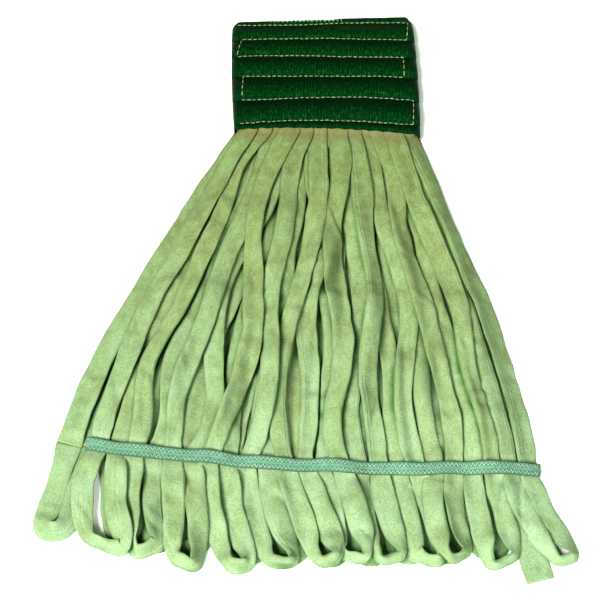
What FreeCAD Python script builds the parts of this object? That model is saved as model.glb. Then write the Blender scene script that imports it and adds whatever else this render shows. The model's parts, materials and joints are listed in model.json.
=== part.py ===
"""Looped-end tube mop head, lying flat: a sewn mesh headband holds two skirts of folded fabric tubes.

Millimetres. +Z is up off the floor, +Y runs from the tail loops to the headband's far edge, +X across.
The origin is the centre of the headband's underside, where a mop handle's clamp holds it.
Each skirt is cut into strands and tail loops where the real fabric bends, so that those can turn.
"""
import FreeCAD, Part
import math
import os

# Headband: a mesh tape folded round the gathered strand ends, with a second tape on its underside
HEADBAND_WIDTH = 175.0
HEADBAND_HEIGHT = 127.0
HEADBAND_THICKNESS = 16.3
MESH = 1.0
RETURN_WIDTH = 14.0
MOUTH_Y = -HEADBAND_HEIGHT / 2

# Serpentine sewing of the headband: the rows' heights above the mouth, and each row's two side margins
SEAM_ROWS = (121.0, 103.5, 82.0, 58.5, 32.0, 5.5)
SEAM_LEFT_MARGINS = (4.0, 7.5, 5.5, 9.5, 8.0, 3.5)
SEAM_RIGHT_MARGINS = (4.5, 8.0, 13.0, 13.5, 6.0, 7.0)
SEAM_WIDTH = 0.8
SEAM_DEPTH = 0.45
FLUSH = 0.03

# Strands: tubes that lie in three layers at the headband and side by side under the tail tape
FRONT_LEGS = 24
BACK_LEGS = 23
LAYERS = 3
COLUMN_PITCH = 21.0
MIDDLE_Z = 8.7
HALVES_GAP = 0.4
LAYER_GAP = 0.05
FLAT_WIDTH = 19.6
FRONT_PITCH = 16.6
BACK_PITCH = 17.9
BACK_SHIFT = -21.5
FRONT_LAYER = 4.2
BACK_LAYER = 2.6
HINGE_GAP = 0.3
# Shares of the way from the headband to the tail loops: where the layers spread and where they merge
SPREAD_FROM, SPREAD_TO = 0.03, 0.16
MERGE_FROM, MERGE_TO = 0.84, 0.925

# Tail tapes, sewn across each skirt, bowed towards the tail
SKIRT_DROP = 322.0
TAPE_WIDTH = 12.0
TAPE_BOW = 9.5
TAPE_THICKNESS = 0.9
TAPE_CLEAR = 2.5
TAIL_LEG_WIDTH = 15.2
LEG_WIDTHS = ((0.0, FLAT_WIDTH), (0.5, 17.0), (MERGE_FROM, 14.4), (1.0, TAIL_LEG_WIDTH))
FRONT_TAIL_LEG = 4.8
BACK_TAIL_LEG = 5.6
STITCH_BAND = 2.4
FLEX_Y = MOUTH_Y - SKIRT_DROP - TAPE_BOW - TAPE_WIDTH - TAPE_CLEAR

# Tail loops: how far past the tape's middle line each loop reaches, and how far it leans to +X
LONGEST_LOOP = 100.0
LOOP_STEP = 1.6
LOOP_STATIONS = (0.0, 0.3, 0.6, 0.85)
TURN_RADIUS = 8.5
TURN_WIDTH = 6.0
FRONT_TURN_HEIGHT = 10.0
BACK_TURN_HEIGHT = 8.0
FRONT_LEANS = (-2.0, -4.0, 0.0, 14.0, 19.0, 21.0, 19.0, 17.0, 15.0, 13.0, 15.0, 38.0)
BACK_LEANS = (-16.0, -4.0, 2.0, 6.0, 10.0, 12.0, 12.0, 10.0, 8.0, 6.0, 8.0)
CUT_END_REACH = 98.0
CUT_END_LEAN = 16.0
CUT_END_WIDTH = 17.0


def section(x, y, z_low, width, height, across=(1.0, 0.0)):
    """An eight-sided closed wire: width along the level direction across, height along Z."""
    half, cut = width / 2, 0.3 * min(width, height)
    outline = (
        (-half + cut, 0), (half - cut, 0), (half, cut), (half, height - cut),
        (half - cut, height), (-half + cut, height), (-half, height - cut), (-half, cut),
    )
    points = [
        FreeCAD.Vector(x + u * across[0], y + u * across[1], z_low + v) for u, v in outline
    ]
    return Part.makePolygon(points + [points[0]])


def tube(sections):
    """A solid through the sections, straight from each to the next."""
    return Part.makeLoft(sections, True, True)


def box(x_low, x_high, y_low, y_high, z_low, z_high):
    corner = FreeCAD.Vector(x_low, y_low, z_low)
    return Part.makeBox(x_high - x_low, y_high - y_low, z_high - z_low, corner)


def mix(a, b, t):
    return a + (b - a) * t


def tape_middle_y(x):
    """The tail tape's middle line: it bows towards the tail between its ends."""
    half = FRONT_PITCH * FRONT_LEGS / 2
    bow = TAPE_BOW * max(0.0, 1 - (x / half) ** 2)
    return MOUTH_Y - SKIRT_DROP - TAPE_WIDTH / 2 - bow


# ---------------------------------------------------------------- headband

def seam_corners():
    """The serpentine's corners, from the far edge's left end to the mouth's left end."""
    corners = []
    for row, height in enumerate(SEAM_ROWS):
        left = -HEADBAND_WIDTH / 2 + SEAM_LEFT_MARGINS[row]
        right = HEADBAND_WIDTH / 2 - SEAM_RIGHT_MARGINS[row]
        ends = [(left, MOUTH_Y + height), (right, MOUTH_Y + height)]
        corners += ends if row % 2 == 0 else ends[::-1]
    return corners


def seam(width, z_low, z_high):
    """The serpentine as one flat thread of the given width."""
    corners = seam_corners()
    runs = []
    for (x0, y0), (x1, y1) in zip(corners, corners[1:]):
        length = math.hypot(x1 - x0, y1 - y0)
        run = box(-width / 2, length + width / 2, -width / 2, width / 2, z_low, z_high)
        turn = math.degrees(math.atan2(y1 - y0, x1 - x0))
        run.rotate(FreeCAD.Vector(0, 0, 0), FreeCAD.Vector(0, 0, 1), turn)
        run.translate(FreeCAD.Vector(x0, y0, 0))
        runs.append(run)
    return runs[0].multiFuse(runs[1:]).removeSplitter()


def headband_pieces():
    half, top = HEADBAND_WIDTH / 2, HEADBAND_THICKNESS
    low_y, high_y = MOUTH_Y + HINGE_GAP, -MOUTH_Y
    back = box(-half, half, low_y, high_y, 0, MESH)
    return_low = MESH + LAYER_GAP
    front = box(-half, half, low_y, high_y, top - MESH, top)
    for side in (-1, 1):
        edge, inner = side * half, side * (half - MESH)
        fold = side * (half - RETURN_WIDTH)
        wall = box(min(edge, inner), max(edge, inner), low_y, high_y, return_low, top - MESH)
        hem = box(min(inner, fold), max(inner, fold), low_y, high_y, return_low, return_low + MESH)
        front = front.fuse([wall, hem])
    front = front.removeSplitter()
    groove = SEAM_WIDTH + 2 * FLUSH
    front = front.cut(seam(groove, top - SEAM_DEPTH - FLUSH, top + 1))
    back = back.cut(seam(groove, -1, SEAM_DEPTH + FLUSH))
    return {
        "headband_front_mesh": [front],
        "headband_back_mesh": [back],
        "headband_front_stitching": [seam(SEAM_WIDTH, top - SEAM_DEPTH, top - FLUSH)],
        "headband_back_stitching": [seam(SEAM_WIDTH, FLUSH, SEAM_DEPTH)],
    }


def column_x(leg):
    """Where a leg's flattened end lies across the headband: three legs lie on each other."""
    columns = FRONT_LEGS // LAYERS
    return (leg // LAYERS - (columns - 1) / 2) * COLUMN_PITCH


def end_layer(half_name):
    """The lowest level and the thickness of one layer of flattened strand ends in the headband."""
    inside_top = HEADBAND_THICKNESS - MESH - LAYER_GAP
    inside_low = 2 * MESH + 2 * LAYER_GAP
    if half_name == "front":
        return MIDDLE_Z, (inside_top - MIDDLE_Z) / LAYERS
    return inside_low, (MIDDLE_Z - inside_low) / LAYERS


def strand_ends(half_name, legs):
    """The flattened upper ends of one skirt's legs, sewn into the headband."""
    low, pitch = end_layer(half_name)
    ends = []
    for leg in range(legs):
        x, z = column_x(leg), low + (leg % LAYERS) * pitch
        ends.append(box(
            x - FLAT_WIDTH / 2, x + FLAT_WIDTH / 2,
            MOUTH_Y + HINGE_GAP, MOUTH_Y + SEAM_ROWS[0],
            z, z + pitch - LAYER_GAP,
        ))
    return ends


# ---------------------------------------------------------------- strands

def tail_x(half_name, leg):
    if half_name == "front":
        return (leg - (FRONT_LEGS - 1) / 2) * FRONT_PITCH
    return BACK_SHIFT + (leg - (BACK_LEGS - 1) / 2) * BACK_PITCH


def leg_levels(half_name, leg, t):
    """The lowest level and the thickness of a leg at the share t of the way to the tail."""
    layer = leg % LAYERS
    end_low, end_pitch = end_layer(half_name)
    mouth = (end_low + layer * end_pitch, end_pitch - LAYER_GAP)
    if half_name == "front":
        floor = MIDDLE_Z + HALVES_GAP / 2
        mouth = (max(mouth[0], floor), mouth[1] - max(0.0, floor - mouth[0]))
        fan = (floor + layer * (FRONT_LAYER + LAYER_GAP), FRONT_LAYER)
        tail = (floor, FRONT_TAIL_LEG)
    else:
        mouth = (mouth[0], mouth[1] - HALVES_GAP / 2)
        fan = (LAYER_GAP + layer * (BACK_LAYER + LAYER_GAP), BACK_LAYER)
        tail = (TAPE_THICKNESS + LAYER_GAP, BACK_TAIL_LEG)
    if t <= MERGE_FROM:
        share = min(1.0, max(0.0, (t - SPREAD_FROM) / (SPREAD_TO - SPREAD_FROM)))
        return tuple(mix(a, b, share) for a, b in zip(mouth, fan))
    share = min(1.0, (t - MERGE_FROM) / (MERGE_TO - MERGE_FROM))
    return tuple(mix(a, b, share) for a, b in zip(fan, tail))


def leg_width(t):
    """A tube is flattest in the headband and plumps up, so gets narrower, towards the tail tape."""
    for (t0, w0), (t1, w1) in zip(LEG_WIDTHS, LEG_WIDTHS[1:]):
        if t <= t1:
            return mix(w0, w1, (t - t0) / (t1 - t0))


def fan_share(t):
    """How far a leg has spread sideways: nearly in proportion, then easing off at the tail."""
    return 1.25 * t - 0.25 * t ** 3


def leg_solid(half_name, leg):
    """One leg, from the headband's mouth to the line where the tail loops flex."""
    y_start, y_end = MOUTH_Y - HINGE_GAP, FLEX_Y + HINGE_GAP
    sections = []
    for t in (0.0, SPREAD_FROM, SPREAD_TO, 0.33, 0.5, 0.67, MERGE_FROM, MERGE_TO, 1.0):
        x = mix(column_x(leg), tail_x(half_name, leg), fan_share(t))
        low, thick = leg_levels(half_name, leg, t)
        sections.append(section(x, mix(y_start, y_end, t), low, leg_width(t), thick))
    return tube(sections)


# ---------------------------------------------------------------- tail tapes

def bowed_strip(x_middle, half, offset, width, z_low, z_high):
    """A level strip that follows the tape's middle line, offset towards +Y."""
    def edge(y_shift):
        ends = tape_middle_y(FRONT_PITCH * FRONT_LEGS / 2) + y_shift
        return Part.Arc(
            FreeCAD.Vector(x_middle - half, ends, z_low),
            FreeCAD.Vector(x_middle, ends - TAPE_BOW, z_low),
            FreeCAD.Vector(x_middle + half, ends, z_low),
        ).toShape()
    upper, lower = edge(offset + width / 2), edge(offset - width / 2)
    sides = [
        Part.makeLine(upper.Vertexes[i].Point, lower.Vertexes[i].Point) for i in (0, 1)
    ]
    face = Part.Face(Part.Wire([upper, sides[1], lower, sides[0]]))
    return face.extrude(FreeCAD.Vector(0, 0, z_high - z_low))


def tail_tape(half_name):
    """The tape and its two rows of sewing, which lie flush in its outer face."""
    if half_name == "front":
        x_middle, half = 0.0, FRONT_PITCH * FRONT_LEGS / 2
        low = MIDDLE_Z + HALVES_GAP / 2 + FRONT_TAIL_LEG + LAYER_GAP
        high = low + TAPE_THICKNESS
        thread = (high - SEAM_DEPTH, high - FLUSH)
        groove = (high - SEAM_DEPTH - FLUSH, high + 1)
    else:
        x_middle, half = BACK_SHIFT, BACK_PITCH * BACK_LEGS / 2
        low, high = 0.0, TAPE_THICKNESS
        thread = (FLUSH, SEAM_DEPTH)
        groove = (-1, SEAM_DEPTH + FLUSH)
    tape = bowed_strip(x_middle, half, 0, TAPE_WIDTH, low, high)
    rows = []
    for offset in (TAPE_WIDTH / 4, -TAPE_WIDTH / 4):
        inset = half - 1.5
        tape = tape.cut(bowed_strip(
            x_middle, inset + FLUSH, offset, STITCH_BAND + 2 * FLUSH, *groove))
        rows.append(bowed_strip(x_middle, inset, offset, STITCH_BAND, *thread))
    return tape, rows


# ---------------------------------------------------------------- tail loops

def loop_solid(half_name, loop):
    """One tail loop: two flat legs that turn on edge and meet in a half round at the tail."""
    x_left, x_right = (tail_x(half_name, 2 * loop + side) for side in (0, 1))
    if half_name == "front":
        lean, low = FRONT_LEANS[loop], MIDDLE_Z + HALVES_GAP / 2
        flat, tall = FRONT_TAIL_LEG, FRONT_TURN_HEIGHT
    else:
        lean, low = BACK_LEANS[loop], LAYER_GAP
        flat, tall = BACK_TAIL_LEG, BACK_TURN_HEIGHT
    x_mid = (x_left + x_right) / 2
    tip_y = tape_middle_y(x_mid) - (LONGEST_LOOP - LOOP_STEP * loop)
    turn_x, turn_y = x_mid + lean, tip_y + TURN_RADIUS + TURN_WIDTH / 2

    def leg(x_start, x_turn, across):
        shapes = []
        for t in LOOP_STATIONS:
            x = mix(x_start, x_turn, t * t * (3 - 2 * t))
            y = mix(FLEX_Y - HINGE_GAP, turn_y, t)
            width, height = mix(TAIL_LEG_WIDTH, TURN_WIDTH, t), mix(flat, tall, t)
            shapes.append(section(x, y, low, width, height, across))
        return shapes

    turn = []
    for degrees in range(180, 361, 30):
        c, s = math.cos(math.radians(degrees)), math.sin(math.radians(degrees))
        x, y = turn_x + TURN_RADIUS * c, turn_y + TURN_RADIUS * s
        turn.append(section(x, y, low, TURN_WIDTH, tall, (-c, -s)))
    outward = leg(x_left, turn_x - TURN_RADIUS, (1.0, 0.0))
    inward = leg(x_right, turn_x + TURN_RADIUS, (-1.0, 0.0))
    return tube(outward + turn + inward[::-1])


def cut_end():
    """The back skirt's last leg ends in a plain cut edge instead of a loop."""
    x = tail_x("back", BACK_LEGS - 1)
    start_y, end_y = FLEX_Y - HINGE_GAP, tape_middle_y(x) - CUT_END_REACH
    middle_x, middle_y = x + CUT_END_LEAN / 2, (start_y + end_y) / 2
    return tube([
        section(x, start_y, LAYER_GAP, TAIL_LEG_WIDTH, BACK_TAIL_LEG),
        section(middle_x, middle_y, LAYER_GAP, CUT_END_WIDTH, BACK_TAIL_LEG),
        section(x + CUT_END_LEAN, end_y, LAYER_GAP, CUT_END_WIDTH, BACK_TAIL_LEG / 2),
    ])


# ---------------------------------------------------------------- assembly

def build():
    """Every sub-part: its name and its solids."""
    parts = headband_pieces()
    parts["front_strand_ends"] = strand_ends("front", FRONT_LEGS)
    parts["back_strand_ends"] = strand_ends("back", BACK_LEGS)
    for half_name, legs in (("front", FRONT_LEGS), ("back", BACK_LEGS)):
        for loop in range(legs // 2):
            number = f"{loop + 1:02d}"
            parts[f"{half_name}_strand_{number}"] = [
                leg_solid(half_name, 2 * loop + side) for side in (0, 1)
            ]
            parts[f"{half_name}_tail_loop_{number}"] = [loop_solid(half_name, loop)]
        tape, rows = tail_tape(half_name)
        parts[f"{half_name}_tail_tape"] = [tape]
        parts[f"{half_name}_tail_stitching"] = rows
    parts["back_strand_12"] = [leg_solid("back", BACK_LEGS - 1)]
    parts["back_cut_end"] = [cut_end()]
    return parts


def main():
    os.makedirs("parts", exist_ok=True)
    parts = build()
    for name, solids in parts.items():
        shape = solids[0] if len(solids) == 1 else Part.makeCompound(solids)
        found = shape.Solids
        if len(found) != len(solids) or not all(s.isValid() and s.Volume > 0 for s in found):
            raise SystemExit(f"{name}: {len(found)} solids, and one isn't valid")
        shape.exportStep(f"parts/{name}.step")
    print(f"{len(parts)} sub-parts")


main()
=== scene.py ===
"""The looks of a looped-end tube mop head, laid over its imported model.

Lengths and places are in millimetres in the model's own frame, and make_mesh() turns them into metres.
The camera, the lights and the materials' patterns are in metres. Tubes are laid one by one on a map of the
height that is already covered, so each rests on those below.
"""
import json
import math

import bpy
import numpy as np
from mathutils import Matrix, Vector


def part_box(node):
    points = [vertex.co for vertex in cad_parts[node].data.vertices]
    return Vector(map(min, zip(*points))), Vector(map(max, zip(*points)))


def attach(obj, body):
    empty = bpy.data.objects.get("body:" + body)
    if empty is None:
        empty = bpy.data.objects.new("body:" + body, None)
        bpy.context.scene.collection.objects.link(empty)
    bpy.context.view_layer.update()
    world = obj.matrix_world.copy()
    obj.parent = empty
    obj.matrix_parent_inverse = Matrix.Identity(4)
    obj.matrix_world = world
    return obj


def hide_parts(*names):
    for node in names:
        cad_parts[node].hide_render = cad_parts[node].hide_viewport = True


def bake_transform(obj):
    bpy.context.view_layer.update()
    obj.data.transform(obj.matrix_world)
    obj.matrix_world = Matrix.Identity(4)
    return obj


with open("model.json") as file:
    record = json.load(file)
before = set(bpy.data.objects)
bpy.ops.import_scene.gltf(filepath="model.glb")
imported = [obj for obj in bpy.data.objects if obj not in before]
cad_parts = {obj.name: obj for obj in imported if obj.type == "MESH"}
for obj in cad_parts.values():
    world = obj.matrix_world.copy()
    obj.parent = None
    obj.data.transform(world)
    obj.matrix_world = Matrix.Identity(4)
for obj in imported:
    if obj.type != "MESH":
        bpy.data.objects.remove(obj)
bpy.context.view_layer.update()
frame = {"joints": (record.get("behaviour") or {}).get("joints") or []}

rng = np.random.default_rng(20)


def cad_box(node):
    """A node's lowest and highest corner in millimetres."""
    low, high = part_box(node)
    return np.array(low) * 1000, np.array(high) * 1000


# MOUTH is the y of the headband's open edge, FAR that of its other edge, and FLEX that of the loops' hinge.
JOINTS = {joint["name"]: joint for joint in frame["joints"]}
MOUTH = JOINTS["headband_lift"]["pos_m"][1] * 1000
FLEX = JOINTS["front_fringe_lift"]["pos_m"][1] * 1000
HEAD_LOW, HEAD_HIGH = cad_box("headband_front_mesh")
HALF = (HEAD_HIGH[0] - HEAD_LOW[0]) / 2
FAR = HEAD_HIGH[1]
LENGTH = FAR - MOUTH

TAPES = {side: cad_box(f"{side}_tail_tape") for side in ("front", "back")}
TAPE_WIDTH, TAPE_THICKNESS = 12.0, 0.7
TAPE_HALF_LENGTH = TAPES["front"][1][0]
TAPE_BOW = TAPES["front"][1][1] - TAPES["front"][0][1] - TAPE_WIDTH
TAPE_MIDDLE_Y = TAPES["front"][1][1] - TAPE_WIDTH / 2 + 2.0
TAPE_TURN = 0.02

# A tube has a ring of ROUND points every STEP. A SQUARENESS below 1 makes it fuller than an ellipse.
LEGS = {"front": 24, "back": 23}
STEP = 2.1
ROUND = 32
SQUARENESS = 0.9


# -------- small tools

def mix(a, b, t):
    return a + (b - a) * t


def ease(t):
    """0 up to t = 0, 1 from t = 1, and smooth between them."""
    t = np.clip(t, 0, 1)
    return t * t * (3 - 2 * t)


def squared(value, power):
    """The value with its size raised to a power, which makes a circle's sine or cosine squarer."""
    return np.sign(value) * np.abs(value) ** power


def spline_weights(count, knots, wrap=False):
    """The share of each knot in each of count places spread evenly along a smooth curve."""
    spots = np.linspace(0, knots, count, endpoint=False) if wrap else np.linspace(0, knots - 1, count)
    start = np.floor(spots).astype(int)
    t = spots - start
    shares = ((1 - t) ** 3 / 6, (3 * t ** 3 - 6 * t ** 2 + 4) / 6,
              (-3 * t ** 3 + 3 * t ** 2 + 3 * t + 1) / 6, t ** 3 / 6)
    weights = np.zeros((count, knots))
    for k, share in enumerate(shares):
        place = start + k - 1
        place = place % knots if wrap else np.clip(place, 0, knots - 1)
        np.add.at(weights, (np.arange(count), place), share)
    return weights


def wander(count, knots, low=-1.0, high=1.0):
    """count values that wander smoothly between about low and high."""
    values = spline_weights(count, max(3, knots)) @ rng.uniform(-1, 1, max(3, knots))
    return mix(low, high, np.clip(values * 0.75 + 0.5, 0, 1))


def lumps(rows, columns, row_knots, column_knots, wrap=True):
    """A grid of smooth random values, about -1 to 1. The columns wrap round a tube."""
    knots = rng.normal(0, 1, (max(3, row_knots), max(3, column_knots)))
    grid = spline_weights(rows, knots.shape[0]) @ knots @ spline_weights(columns, knots.shape[1], wrap).T
    return np.clip(grid * 1.3, -1.5, 1.5)


def spline_at(points, u):
    """Places and unit directions at u, counted in points, on a smooth curve through the points."""
    p = np.vstack([2 * points[0] - points[1], points, 2 * points[-1] - points[-2]])
    start = np.clip(np.floor(u).astype(int), 0, len(points) - 2)
    t = (u - start)[:, None]
    a, b, c, d = (p[start + k] for k in range(4))
    k1, k2, k3 = c - a, 2 * a - 5 * b + 4 * c - d, 3 * b - a - 3 * c + d
    place = 0.5 * (2 * b + k1 * t + k2 * t ** 2 + k3 * t ** 3)
    slope = 0.5 * (k1 + 2 * k2 * t + 3 * k3 * t ** 2)
    return place, slope / np.linalg.norm(slope, axis=1)[:, None]


def walk(points, first, last):
    """Even steps along the curve from point number first to point number last."""
    u = np.linspace(first, last, 60 * (last - first))
    place = spline_at(points, u)[0]
    run = np.concatenate([[0], np.cumsum(np.linalg.norm(np.diff(place, axis=0), axis=1))])
    count = max(6, int(run[-1] / STEP) + 1)
    along = np.linspace(0, run[-1], count)
    place, direction = spline_at(points, np.interp(along, run, u))
    return place, direction, along


# -------- the height that is covered

class Ground:
    """A map of the covered height over the floor, in 1 mm cells, a little larger than the mop."""

    def __init__(self):
        self.low = np.array([-275.0, -525.0])
        self.height = np.zeros((550, 480))

    def cells(self, x, y):
        """The places on the map, counted in cells."""
        columns, rows = self.height.shape
        return np.clip(x - self.low[0], 0, columns - 1.001), np.clip(y - self.low[1], 0, rows - 1.001)

    def softened(self, reach, blur):
        """The map as soft fabric bridges it: widened by reach cells, then blurred."""
        wide = self.height
        for axis in (0, 1):
            wide = np.max([np.roll(wide, shift, axis) for shift in range(-reach, reach + 1)], axis=0)
        radius = int(blur * 2.5)
        shifts = np.arange(-radius, radius + 1)
        kernel = np.exp(-0.5 * (shifts / blur) ** 2)
        kernel /= kernel.sum()
        for axis in (0, 1):
            wide = sum(share * np.roll(wide, shift, axis) for share, shift in zip(kernel, shifts))
        return wide

    def read(self, heights, x, y):
        """The heights at places between cells."""
        i, j = self.cells(x, y)
        a, b = i.astype(int), j.astype(int)
        s, t = i - a, j - b
        near = heights[a, b] * (1 - s) + heights[a + 1, b] * s
        return near * (1 - t) + (heights[a, b + 1] * (1 - s) + heights[a + 1, b + 1] * s) * t

    def cover(self, points):
        """Raises the map to a grid of points, each with x, y and z."""
        dense = points
        for _ in range(2):
            rows = np.repeat(dense, 2, axis=0)
            rows[1:-1:2] = (dense[:-1] + dense[1:]) / 2
            dense = rows[:-1].transpose(1, 0, 2)
        i, j = self.cells(dense[..., 0], dense[..., 1])
        np.maximum.at(self.height, (i.round().astype(int), j.round().astype(int)), dense[..., 2])


# The tubes are laid on ground, and cover has their heights once they have settled.
ground, cover = Ground(), Ground()
ANGLES = np.arange(ROUND) * 2 * math.pi / ROUND


class Tube:
    """One stretch of a flattened fabric tube: its line, its section and its points."""

    def __init__(self, place, direction, along, half_width, half_thick, tilt, dip, kinks=0, buckle=0.0):
        """tilt rolls the section sideways and dip sinks its middle, with a value for each step.

        kinks is a number of slanting creases, and buckle the depth of the folds inside a loop's turn.
        """
        self.along = along
        count = len(along)
        loose = ease(np.minimum(along, along[-1] - along) / 14)[:, None]
        inward = np.stack([-direction[:, 1], direction[:, 0]], 1)
        c, s = np.cos(ANGLES)[None, :], np.sin(ANGLES)[None, :]
        flat = squared(c, SQUARENESS)
        across = half_width[:, None] * flat * (1 + 0.065 * loose * lumps(count, ROUND, count // 5, 3))
        up = half_thick[:, None] * squared(s, SQUARENESS)
        up *= 1 - dip[:, None] * np.exp(-(flat / 0.45) ** 2)
        wrinkle = 0.55 * lumps(count, ROUND, count // 6, 8) + 0.22 * lumps(count, ROUND, count // 2, 14)
        # Each crease is a slanting groove with a low ridge beside it.
        for _ in range(kinks):
            spot, slope = rng.uniform(0.12, 0.95) * along[-1], rng.uniform(-2.0, 2.0)
            off = along[:, None] - spot - slope * across + 2 * np.sin(across / 4)
            here = np.exp(-((flat - rng.uniform(-1, 1)) / 0.9) ** 2)
            wrinkle = wrinkle - rng.uniform(0.7, 2.2) * here * np.exp(-(off / rng.uniform(3.5, 7.5)) ** 2)
            wrinkle = wrinkle + rng.uniform(0.3, 1.1) * here * np.exp(-((off - 8) / 4.5) ** 2)
        up += loose * wrinkle * squared(s, 0.5)
        turn = np.exp(-((along / along[-1] - 0.5) / 0.13) ** 2)[:, None]
        folds = np.cos((along[:, None] - along[-1] / 2) * rng.uniform(0.24, 0.36) + rng.uniform(0, 6.3))
        up += buckle * turn * folds * np.clip(flat + 0.1, 0, 1) ** 1.5
        tilt = tilt[:, None]
        level = across * np.cos(tilt) - up * np.sin(tilt)
        rise = across * np.sin(tilt) + up * np.cos(tilt)
        self.rise = rise - rise.min(axis=1, keepdims=True)
        self.x = place[:, :1] + level * inward[:, :1]
        self.y = place[:, 1:] + level * inward[:, 1:]
        self.base = None
        # The distance round the section, which is close to an ellipse.
        a, b = half_width.mean(), half_thick.mean()
        self.girth = math.pi * (3 * (a + b) - math.sqrt((3 * a + b) * (a + 3 * b)))

    def lay(self, start_base=None, end_base=None, join=22.0):
        """Rests the tube on what is covered so far, joining the base given for an end."""
        base = ground.read(ground.softened(3, 3.2), self.x, self.y)
        if start_base is not None:
            base = mix(start_base[None, :], base, ease(self.along / join)[:, None])
        if end_base is not None:
            base = mix(end_base[None, :], base, ease((self.along[-1] - self.along) / join)[:, None])
        self.base = base
        ground.cover(self.points())

    def points(self):
        return np.stack([self.x, self.y, self.base + self.rise], 2)


# -------- the course of the tubes

def tape_line(x):
    """The y of the tail tapes' middle line: bowed, and turned a little."""
    return TAPE_MIDDLE_Y - TAPE_TURN * x - TAPE_BOW * np.clip(1 - (x / TAPE_HALF_LENGTH) ** 2, -1, 1)


MOUTH_SPREAD = 2 * HALF - 9
HEAD_SHIFT = 5.0
INSIDE_HEAD = 8.0
LEG_KNOTS = 13
# WIDTH is half a flat tube's width, NARROWING the share lost where it is plump, and PINCH the share left
# under the tape. WAVES are the sizes of a leg's sideways waves, from one half-wave to six.
WIDTH = {"front": 10.2, "back": 11.9}
NARROWING = {"front": 0.24, "back": 0.06}
PINCH = {"front": 0.82, "back": 1.0}
WAVES = (4.6, 5.2, 4.2, 2.9, 1.9, 1.3)
WAVE_SHARE = {"front": 1.0, "back": 0.45}


def leg_points(side, leg):
    """The leg's course from inside the headband to the tape, as points to pass through."""
    legs = LEGS[side]
    low, high = TAPES[side]
    tail_x = low[0] + (high[0] - low[0]) * (leg + 0.5) / legs
    mouth_x = HEAD_SHIFT + MOUTH_SPREAD * ((leg + 0.5) / legs - 0.5)
    share = np.linspace(0, 1, LEG_KNOTS)
    outermost = min(leg, legs - 1 - leg) < 2
    waves = sum(size * rng.normal() * np.sin(math.pi * (k + 1) * share) for k, size in enumerate(WAVES))
    waves = waves * (0.3 if outermost else 1.0) * (0.55 + 0.65 * share) * WAVE_SHARE[side]
    # The legs fan out fastest near the headband.
    x = mix(mouth_x, tail_x, 1.25 * share - 0.25 * share ** 3) + waves
    y = mix(MOUTH, tape_line(tail_x), share)
    slope = (x[1] - x[0]) / (y[1] - y[0])
    inside = np.array([[mouth_x + slope * INSIDE_HEAD * 0.5, MOUTH + INSIDE_HEAD]])
    return np.vstack([inside, np.stack([x, y], 1)])


def leg_tube(points, side):
    """A leg: thin in the headband, plump and rolled here and there on its way, and flat at the tape."""
    place, direction, along = walk(points, 0, len(points) - 1)
    count = len(along)
    v = (MOUTH - place[:, 1]) / (MOUTH - points[-1][1])
    middle = ease(v / 0.1) * ease((1 - v) / 0.05)
    plump = wander(count, 8, 0.0, 1.0) * middle
    thick = mix(1.9, 3.3, ease(v / 0.13))
    thick = mix(thick, 1.6, ease((v - 0.93) / 0.07))
    tilt = np.radians(wander(count, 7, -26, 26)) * middle
    dip = np.clip(wander(count, 7, -0.5, 0.5), 0, 1) * middle
    wide = WIDTH[side] * (1 - NARROWING[side] * plump) * mix(1.0, PINCH[side], ease((v - 0.93) / 0.06))
    to_seam = along[-1] - along
    thick = thick * (1 + 0.35 * plump) * (1 + 0.4 * np.exp(-((to_seam - 11) / 4) ** 2))
    return Tube(place, direction, along, wide, thick, tilt, dip, kinks=rng.integers(3, 9))


def loop_points(left, right, reach, lean, spread, drift, blunt, skew):
    """The loop's course from the tape down one side, round its blunt tip and up to the tape again.

    reach is its length past the tape, lean how far its tip goes sideways, and spread half its width. drift
    bows it sideways, blunt is the share of the width left at the tip, and skew lowers the tip's one side.
    """
    middle = (left[-1][0] + right[-1][0]) / 2
    top = (left[-1][1] + right[-1][1]) / 2
    half = (right[-1][0] - left[-1][0]) / 2
    shares = np.array([0.14, 0.34, 0.55, 0.74, 0.89, 0.975])
    gaps = spread * np.array([0.92, 0.88, 0.91, 0.97, 1.0, blunt])
    gaps[0] = mix(half, gaps[0], 0.45)
    centre = middle + lean * shares ** 1.25 + drift * np.sin(math.pi * shares)
    down = top - (reach - 4.0) * shares
    slant = skew * shares ** 4
    out = np.stack([centre - gaps, down - slant], 1)
    back = np.stack([centre + gaps, down + slant], 1)[::-1]
    return np.vstack([left, out, back, right[::-1]])


def loop_tube(points, first, last, start_width, tilt_middle, tilt_tip, thick, width=10.6, buckle=0.9):
    """A loop: flat at the tape, plump on its way, and rolled up on its edge round the tip."""
    place, direction, along = walk(points, first, last)
    count = len(along)
    share = 1 - np.abs(2 * along / along[-1] - 1)
    side = np.sign(along - along[-1] / 2)
    half_thick = mix(1.6, thick, ease(share / 0.35)) * (1 + 0.2 * wander(count, 6) * ease(share / 0.2))
    half_width = mix(start_width, width, ease(share / 0.25))
    sway = np.radians(wander(count, 5, -16, 16))
    uneven = 1 + 0.55 * side * rng.uniform(-1, 1) * ease((1 - share) / 0.5)
    tilt = np.radians(mix(tilt_middle, tilt_tip, ease((share - 0.6) / 0.35))) * ease(share / 0.45) * uneven
    tilt = tilt + sway * ease(share / 0.2) * ease((1 - share) / 0.3)
    dip = np.clip(wander(count, 5, -0.4, 0.45), 0, 1) * ease(share / 0.3)
    return Tube(place, direction, along, half_width, half_thick, tilt, dip, kinks=2, buckle=buckle)


# -------- meshes

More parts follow.
